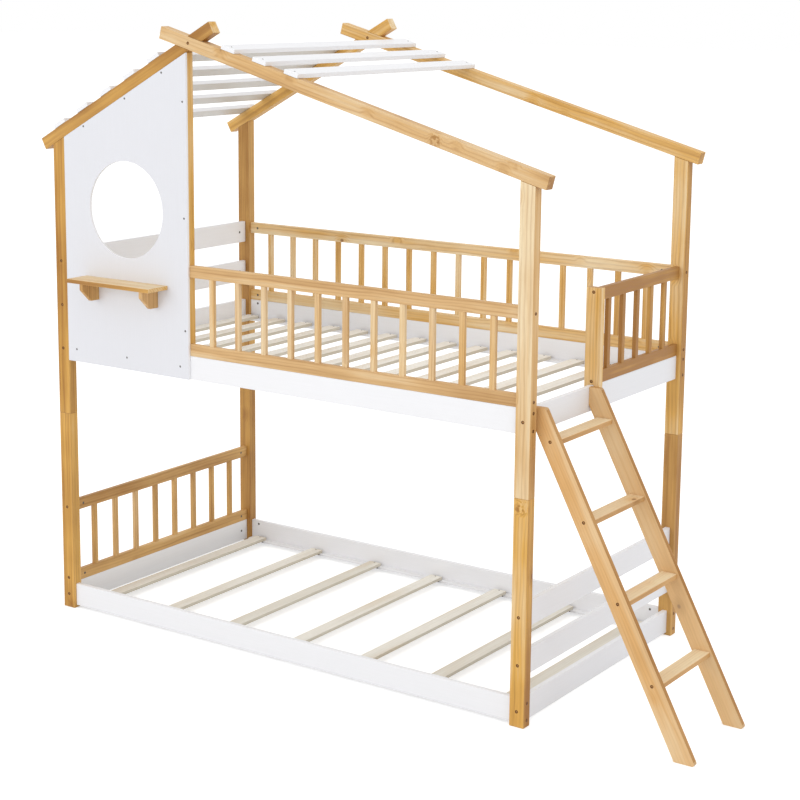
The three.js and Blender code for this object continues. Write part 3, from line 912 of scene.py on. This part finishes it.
class BUNKBED_OT_shelf(MakerOperator):
    """Finish the shelf and its two brackets"""
    bl_idname = "bunk_bed.shelf"
    bl_label = "Finish shelf"

    def execute(self, context):
        finish_node("shelf", "pine", "along", sizes().thin_ease, (0.85, 0.86, 0.10), end_tone=0.45)
        finish_node("shelf_bracket_left", "pine", "upright", sizes().thin_ease, 0.50, tan=0.5)
        finish_node("shelf_bracket_right", "pine", "upright", sizes().thin_ease, 0.48, tan=0.8)
        return {"FINISHED"}


class BUNKBED_OT_roof(MakerOperator):
    """Finish the rafters and the white slats across them"""
    bl_idname = "bunk_bed.roof"
    bl_label = "Finish roof"

    # Where the front right rafter has its swirl
    SWIRL = (1625, 0, 1823)

    def execute(self, context):
        # Grain, tone, end tone and tan of each rafter
        rafters = {
            "front_left_rafter": ("left_slope", 0.76, 0.10, 0.0),
            "front_right_rafter": ("right_slope", 0.50, 0.9, 0.75),
            "back_left_rafter": ("left_slope", 0.50, 0.15, 0.0),
            "back_right_rafter": ("right_slope", 0.42, 0.8, 0.1),
        }
        for name, (direction, tone, end_tone, tan) in rafters.items():
            swirl = at(*self.SWIRL) if name == "front_right_rafter" else NOWHERE
            finish_node(name, "pine", direction, sizes().post_ease, tone,
                        end_tone=end_tone, swirl=swirl, tan=tan)
        for name in ROOF_SLATS:
            # The roof slats' undersides are darkened grey, as painted shade.
            finish_node(name, "white_paint", "across", sizes().thin_ease, 0.16, under=0.9)
        return {"FINISHED"}


class BUNKBED_OT_ladder(MakerOperator):
    """Finish the ladder's stringers and treads"""
    bl_idname = "bunk_bed.ladder"
    bl_label = "Finish ladder"

    def execute(self, context):
        for row, front in (("front", 0.53), ("back", 0.46)):
            finish_node(f"ladder_stringer_{row}", "pale_pine", "ladder", sizes().ladder_ease,
                        (0.9, front, 0.9))
        for name in LADDER_TREADS:
            finish_node(name, "pale_pine", "across", sizes().tread_ease, (0.72, 0.72, 0.05))
        return {"FINISHED"}


class BUNKBED_OT_lower_slats(MakerOperator):
    """Finish the raw slats of the lower bunk"""
    bl_idname = "bunk_bed.lower_slats"
    bl_label = "Finish lower slats"

    def execute(self, context):
        # The slats' faces to the side and their ends are darker partly as painted shade.
        for count, name in enumerate(LOWER_SLATS, 1):
            top = 0.24 + 0.30 * spread(count, 5)
            finish_node(name, "raw_slat", "across", sizes().thin_ease, (0.9, 0.8, top))
        return {"FINISHED"}


class BUNKBED_OT_guards(MakerOperator):
    """Build the guards and the headboard from their rails and balusters"""
    bl_idname = "bunk_bed.guards"
    bl_label = "Build guards"

    TENON = 5
    WIDE = 20
    THICK = 15
    # How much the balusters of a guard differ in tone
    VARIETY = 0.26

    def between(self, start, end, gap, count, last_gap=None):
        """Middles of a row of balusters between two faces, with the gap before the first of them."""
        half = self.WIDE / 2
        return evenly(start + gap + half, end - (last_gap or gap) - half, count)

    def build(self, node, lengthwise, middles, tone, top_tone, paler, tan):
        """Two rails and their balusters, whose tone is paler than the rails' and changes a little."""
        low, high = span(node)
        run = 0 if lengthwise else 1
        across = 1 - run
        direction = "along" if lengthwise else "across"
        rails = {
            "low": (low.z, low.z + GUARD_RAIL_HEIGHT, tone),
            "high": (high.z - GUARD_RAIL_HEIGHT, high.z, top_tone),
        }
        for level, (bottom, top, rail_tone) in rails.items():
            add_board(f"{node}_rail_{level}", at(low.x, low.y, bottom), at(high.x, high.y, top),
                      "pine", direction, sizes().board_ease, rail_tone, node, tan=tan)
        centre = (low[across] + high[across]) / 2
        foot = low.z + GUARD_RAIL_HEIGHT - self.TENON
        head = high.z - GUARD_RAIL_HEIGHT + self.TENON
        for count, place in enumerate(middles):
            start, end = Vector((0, 0, foot)), Vector((0, 0, head))
            start[run], end[run] = place - self.WIDE / 2, place + self.WIDE / 2
            start[across], end[across] = centre - self.THICK / 2, centre + self.THICK / 2
            shade = tone - paler + self.VARIETY * (spread(count, 7 + len(node)) - 0.5)
            add_board(f"{node}_baluster_{count + 1:02d}", at(*start), at(*end), "pine", "upright",
                      sizes().baluster_ease, shade, node, tan=tan * (0.5 + spread(count, 13)))

    def execute(self, context):
        inner_right = LENGTH - POST_WIDTH
        inner_back = WIDTH - POST_DEPTH
        panel_edge = span("window_panel")[1].x
        short_post = span("guard_short_post")[1].y
        head_count = 8
        head_gap = (inner_back - POST_DEPTH - head_count * self.WIDE) / (head_count + 1)
        self.build("front_guard", True, self.between(panel_edge, inner_right, 84, 11),
                   tone=0.54, top_tone=0.42, paler=0.18, tan=0.85)
        self.build("back_guard", True, self.between(POST_WIDTH, inner_right, 89.5, 16),
                   tone=0.38, top_tone=0.22, paler=0.06, tan=0.15)
        self.build("end_guard", False, self.between(short_post, inner_back, 63, 5, last_gap=89),
                   tone=0.96, top_tone=1.00, paler=0.0, tan=0.0)
        self.build("headboard", False, self.between(POST_DEPTH, inner_back, head_gap, head_count),
                   tone=0.64, top_tone=0.66, paler=0.06, tan=0.5)
        return {"FINISHED"}


class BUNKBED_OT_upper_slats(MakerOperator):
    """Build the upper bunk's slats and the cleats that carry them"""
    bl_idname = "bunk_bed.upper_slats"
    bl_label = "Build upper slats"

    CLEAT_WIDTH = 24
    CLEAT_HEIGHT = 10
    SLAT_WIDTH = 53
    # How far the slats' ends lie inside the bed's front and back
    SLAT_INSET = 39

    def execute(self, context):
        low, high = span("upper_slat_deck")
        cleat_top = low.z + self.CLEAT_HEIGHT
        cleats = {
            "front": (low.y, low.y + self.CLEAT_WIDTH),
            "back": (high.y - self.CLEAT_WIDTH, high.y),
        }
        for row, (near, far) in cleats.items():
            add_board(f"upper_{row}_cleat", at(low.x, near, low.z), at(high.x, far, cleat_top),
                      "white_paint", "along", sizes().thin_ease, 0.12, "upper_slat_deck")
        half = self.SLAT_WIDTH / 2
        # The slats' faces to the side and their ends are darker partly as painted shade.
        for step, place in enumerate(UPPER_SLATS):
            top = 0.25 * spread(step, 9) - 0.12
            add_board(f"upper_slat_{step + 1:02d}", at(place - half, self.SLAT_INSET, cleat_top),
                      at(place + half, WIDTH - self.SLAT_INSET, high.z), "raw_slat", "across",
                      sizes().thin_ease, (0.9, 0.8, top), "upper_slat_deck")
        return {"FINISHED"}


class BUNKBED_OT_bolts(MakerOperator):
    """Build the bolt heads in the posts, the roof and the ladder, and the cross nuts inside"""
    bl_idname = "bunk_bed.bolts"
    bl_label = "Build bolts and cross nuts"

    # Heights of the bolts through the posts, for the rails and boards that they hold
    ENDS = {
        "left": [middle("lower_left_end_rail").z, *rail_middles("headboard"),
                 middle("upper_left_end_rail").z, middle("left_end_board_low").z,
                 middle("left_end_board_high").z],
        "right": [middle("lower_right_end_rail").z, middle("right_end_board_low").z,
                  middle("right_end_board_high").z, middle("upper_right_end_rail").z],
    }
    SIDES = side_rail_bolts("lower_front_rail") + side_rail_bolts("upper_front_rail")
    GUARDS = rail_middles("front_guard")
    # Heights of the bolts through the short post, for the end guard
    SHORT_POST = (1034.5, 1326.5)
    # At the back the collars lie in their seats, so that they don't stand out of the bed's size.
    SEATED_RADIUS = 4.3 * MM
    SEATED_DEPTH = 0.5
    # How far from the posts the cross nuts lie
    NUT_INSET = 37

    def posts(self):
        ends = {"left": (POST_WIDTH / 2, 0, LEFT), "right": (LENGTH - POST_WIDTH / 2, LENGTH, RIGHT)}
        rows = {
            "front": (0, FRONT, POST_DEPTH / 2, None),
            "back": (WIDTH - self.SEATED_DEPTH, BACK, WIDTH - POST_DEPTH / 2, self.SEATED_RADIUS),
        }
        for side, (x, outer_x, outward) in ends.items():
            for row, (y, facing, middle_y, radius) in rows.items():
                places = [(at(x, y, z), facing, radius) for z in self.ENDS[side]]
                # The front guard ends at the window panel, and has no bolts in the left post.
                guards = [] if (side, row) == ("left", "front") else self.GUARDS
                places += [(at(outer_x, middle_y, z), outward) for z in self.SIDES + guards]
                add_small_parts(f"post_bolts_{row}_{side}", bolt_head, places)

    def short_post(self):
        x = middle("end_guard").x
        y = span("guard_short_post")[0].y
        add_small_parts("short_post_bolts", bolt_head, [(at(x, y, z), FRONT) for z in self.SHORT_POST])

    def roof(self):
        """One bolt where the middle lines of two rafters cross, in front and at the back."""
        left_middle = LEFT_EAVE + RAFTER_HEIGHT / 2 / math.cos(LEFT_PITCH)
        right_middle = RIGHT_EAVE + RAFTER_HEIGHT / 2 / math.cos(RIGHT_PITCH)
        climb = right_middle + LENGTH * math.tan(RIGHT_PITCH) - left_middle
        x = climb / (math.tan(LEFT_PITCH) + math.tan(RIGHT_PITCH))
        z = left_middle + x * math.tan(LEFT_PITCH)
        places = [(at(x, y, z), FRONT) for y in (0, WIDTH - POST_DEPTH)]
        add_small_parts("rafter_bolts", bolt_head, places)

    def ladder(self):
        near, far = span("ladder_stringer_front")[0].y, span("ladder_stringer_back")[1].y
        places = []
        for name in LADDER_TREADS:
            x, _, z = middle(name)
            places += [(at(x, near, z), FRONT), (at(x, far, z), BACK)]
        add_small_parts("ladder_bolts", bolt_head, places)

    def nuts(self):
        """Cross nuts lie flush in the rails' inner faces, a little way from the posts."""
        lengthwise = (POST_WIDTH + self.NUT_INSET, LENGTH - POST_WIDTH - self.NUT_INSET)
        crosswise = (POST_DEPTH + self.NUT_INSET, WIDTH - POST_DEPTH - self.NUT_INSET)
        # The inner face of each side's rails, which way it looks, and where the guard has nuts
        sides = (
            (span("upper_front_rail")[1].y, BACK, lengthwise[1:]),
            (span("upper_back_rail")[0].y, FRONT, lengthwise),
        )
        places = []
        for y, inward, guard_ends in sides:
            places += [(at(x, y, z), inward) for z in self.SIDES for x in lengthwise]
            places += [(at(x, y, z), inward) for z in self.GUARDS for x in guard_ends]
        left_x, right_x = span("upper_left_end_rail")[1].x, span("upper_right_end_rail")[0].x
        places += [(at(left_x, y, z), RIGHT) for z in self.ENDS["left"] for y in crosswise]
        places += [(at(right_x, y, z), LEFT) for z in self.ENDS["right"] for y in crosswise]
        places += [(at(right_x, crosswise[1], z), LEFT) for z in self.GUARDS]
        add_small_parts("cross_nuts", cross_nut, places, ("Steel",))

    def execute(self, context):
        self.posts()
        self.short_post()
        self.roof()
        self.ladder()
        self.nuts()
        return {"FINISHED"}


class BUNKBED_OT_screws(MakerOperator):
    """Build the screw heads in the panel, the roof slats and the bed slats"""
    bl_idname = "bunk_bed.screws"
    bl_label = "Build screws"

    # Places along the bed and heights of the panel's screws
    PANEL = (
        (516, 1988), (346, 1894), (149, 1789), (608, 1894), (610, 1499), (610, 1110),
        (94, 985), (337, 984), (585, 983),
    )
    # How far from the bed's front and back the slats' screws lie
    SLAT_SCREW_INSET = 47
    # How far to the right of a lower slat's middle its cleats' screws lie, where the shade under the
    # slat's end falls: their dark heads are partly painted shadow.
    CLEAT_SCREW_AND_SHADE_SHIFT = 18

    def roof_slats(self, radius):
        places = []
        for name in ROOF_SLATS:
            pitch = -LEFT_PITCH if "left" in name else RIGHT_PITCH
            axis = Matrix.Rotation(pitch, 3, "Y") @ UP
            x, _, z = middle(name)
            for y in (POST_DEPTH / 2, WIDTH - POST_DEPTH / 2):
                places.append((at(x, y, z) + axis * ROOF_SLAT_THICKNESS / 2 * MM, axis, radius))
        add_small_parts("roof_slat_screws", cross_head, places, ("Steel",))

    def bed_slats(self, radius):
        tops = [(middle(name).x, span(name)[1].z) for name in LOWER_SLATS]
        tops += [(x, span("upper_slat_deck")[1].z) for x in UPPER_SLATS]
        ends = (self.SLAT_SCREW_INSET, WIDTH - self.SLAT_SCREW_INSET)
        places = [(at(x, y, z), UP, radius) for x, z in tops for y in ends]
        add_small_parts("bed_slat_screws", cross_head, places, ("Steel",))

    def cleats(self, radius):
        rows = {
            "lower_front_cleat": (span("lower_front_cleat")[1].y, BACK),
            "lower_back_cleat": (span("lower_back_cleat")[0].y, FRONT),
        }
        places = []
        for cleat, (y, inward) in rows.items():
            for slat in LOWER_SLATS:
                # Dark screw heads under each slat's end, partly screws and partly painted shadow there.
                x = middle(slat).x + self.CLEAT_SCREW_AND_SHADE_SHIFT
                places.append((at(x, y, middle(cleat).z), inward, radius))
        add_small_parts("cleat_screws_and_shade", cross_head, places, ("Steel",))

    def execute(self, context):
        radius = sizes().screw_radius
        small_radius = radius * 0.8
        places = [(at(x, 0, z), FRONT, radius) for x, z in self.PANEL]
        add_small_parts("panel_screws", cross_head, places, ("Steel",))
        self.roof_slats(small_radius)
        self.bed_slats(small_radius)
        self.cleats(radius)
        return {"FINISHED"}


class BUNKBED_OT_stage(MakerOperator):
    """Set the floor, the soft studio light and the camera"""
    bl_idname = "bunk_bed.stage"
    bl_label = "Set the stage"

    FLOOR_REACH = 60.0
    FLOOR_GLOW = 0.50
    # How bright the surround is on the bed, and to the eye
    SURROUND_LIGHT = 0.90
    SURROUND_SEEN = 1.0
    # Name, place, width and height, and power of each lamp, all turned to the target
    LAMPS = (
        ("front_softbox", (-2.0, -8.5, 3.2), (5.0, 4.0), 160),
        ("side_softbox", (6.0, -1.5, 3.2), (3.0, 3.0), 40),
        ("top_softbox", (0.5, 0.5, 6.5), (4.0, 3.0), 25),
    )
    LAMP_TARGET = Vector((0, 0, 1.0))
    # The camera at the photograph's viewing angle: its place on the bed, and its turns in degrees
    CAMERA_PLACE = (4711.96, -4693.7, 2282.2)
    CAMERA_TURNS = (79.689, -0.536, 34.456)
    CAMERA_LENS = 82.515
    CAMERA_SHIFT = -0.1

    def floor(self):
        reach = self.FLOOR_REACH
        mesh = bpy.data.meshes.new("studio_floor")
        mesh.from_pydata([(-reach, -reach, 0), (reach, -reach, 0), (reach, reach, 0), (-reach, reach, 0)],
                         [], [(0, 1, 2, 3)])
        floor = bpy.data.objects.new("studio_floor", mesh)
        floor.location.z = CAD_LOW.z - 0.5 * MM
        bpy.context.scene.collection.objects.link(floor)
        made = Finish("Studio floor")
        made.nodes.remove(made.shader)
        matt = made.node("ShaderNodeBsdfDiffuse", Color=(*colours().floor, 1))
        glow = made.node("ShaderNodeEmission", Color=(1, 1, 1, 1),
                         Strength=made.times(made.seen(), self.FLOOR_GLOW))
        both = made.node("ShaderNodeAddShader")
        for socket, part in zip(both.inputs, (matt, glow)):
            made.feed(socket, part.outputs[0])
        made.feed(made.nodes["Material Output"].inputs["Surface"], both.outputs[0])
        mesh.materials.append(made.material)

    def world(self):
        world = bpy.data.worlds.new("Studio")
        world.use_nodes = True
        bpy.context.scene.world = world
        made = NodeMaker(world.node_tree)
        strength = made.node("ShaderNodeMapRange", Value=made.seen(),
                             To_Min=self.SURROUND_LIGHT, To_Max=self.SURROUND_SEEN)
        surround = made.nodes["Background"].inputs
        made.feed(surround["Color"], (1, 1, 1, 1))
        made.feed(surround["Strength"], strength.outputs["Result"])

    def lamps(self):
        for name, place, size, power in self.LAMPS:
            light = bpy.data.lights.new(name, "AREA")
            light.shape = "RECTANGLE"
            light.size, light.size_y = size
            light.energy = power
            lamp = bpy.data.objects.new(name, light)
            lamp.location = place
            lamp.rotation_euler = (self.LAMP_TARGET - Vector(place)).to_track_quat("-Z", "Y").to_euler()
            bpy.context.scene.collection.objects.link(lamp)

    def camera(self):
        view = bpy.data.cameras.new("bed_camera")
        view.sensor_width = 36
        view.lens = self.CAMERA_LENS
        view.shift_y = self.CAMERA_SHIFT
        camera = bpy.data.objects.new("bed_camera", view)
        camera.location = at(*self.CAMERA_PLACE)
        camera.rotation_euler = [math.radians(turn) for turn in self.CAMERA_TURNS]
        bpy.context.scene.collection.objects.link(camera)
        bpy.context.scene.camera = camera

    def execute(self, context):
        context.scene.view_settings.view_transform = "Standard"
        self.floor()
        self.world()
        self.lamps()
        self.camera()
        return {"FINISHED"}


class BUNKBED_PT_steps(bpy.types.Panel):
    """Lists the bed's sizes, colours and steps"""
    bl_idname = "BUNKBED_PT_steps"
    bl_label = "House bunk bed"
    bl_space_type = "VIEW_3D"
    bl_region_type = "UI"
    bl_category = "Bunk bed"

    def draw(self, context):
        column = self.layout.column()
        for group in (context.scene.bunk_bed_sizes, context.scene.bunk_bed_colours):
            for name in group.bl_rna.properties.keys():
                if name not in ("rna_type", "name"):
                    column.prop(group, name)
        for step in STEPS:
            column.operator(step.bl_idname)


STEPS = (
    BUNKBED_OT_posts,
    BUNKBED_OT_rails,
    BUNKBED_OT_panel,
    BUNKBED_OT_shelf,
    BUNKBED_OT_roof,
    BUNKBED_OT_ladder,
    BUNKBED_OT_lower_slats,
    BUNKBED_OT_guards,
    BUNKBED_OT_upper_slats,
    BUNKBED_OT_bolts,
    BUNKBED_OT_screws,
    BUNKBED_OT_stage,
)
CLASSES = (BedSizes, BedColours, *STEPS, BUNKBED_PT_steps)


def register():
    for kind in CLASSES:
        bpy.utils.register_class(kind)
    bpy.types.Scene.bunk_bed_sizes = PointerProperty(type=BedSizes)
    bpy.types.Scene.bunk_bed_colours = PointerProperty(type=BedColours)


def unregister():
    del bpy.types.Scene.bunk_bed_colours
    del bpy.types.Scene.bunk_bed_sizes
    for kind in reversed(CLASSES):
        bpy.utils.unregister_class(kind)


def main():
    register()
    for step in STEPS:
        group, name = step.bl_idname.split(".")
        getattr(getattr(bpy.ops, group), name)()


if __name__ == "__main__":
    main()
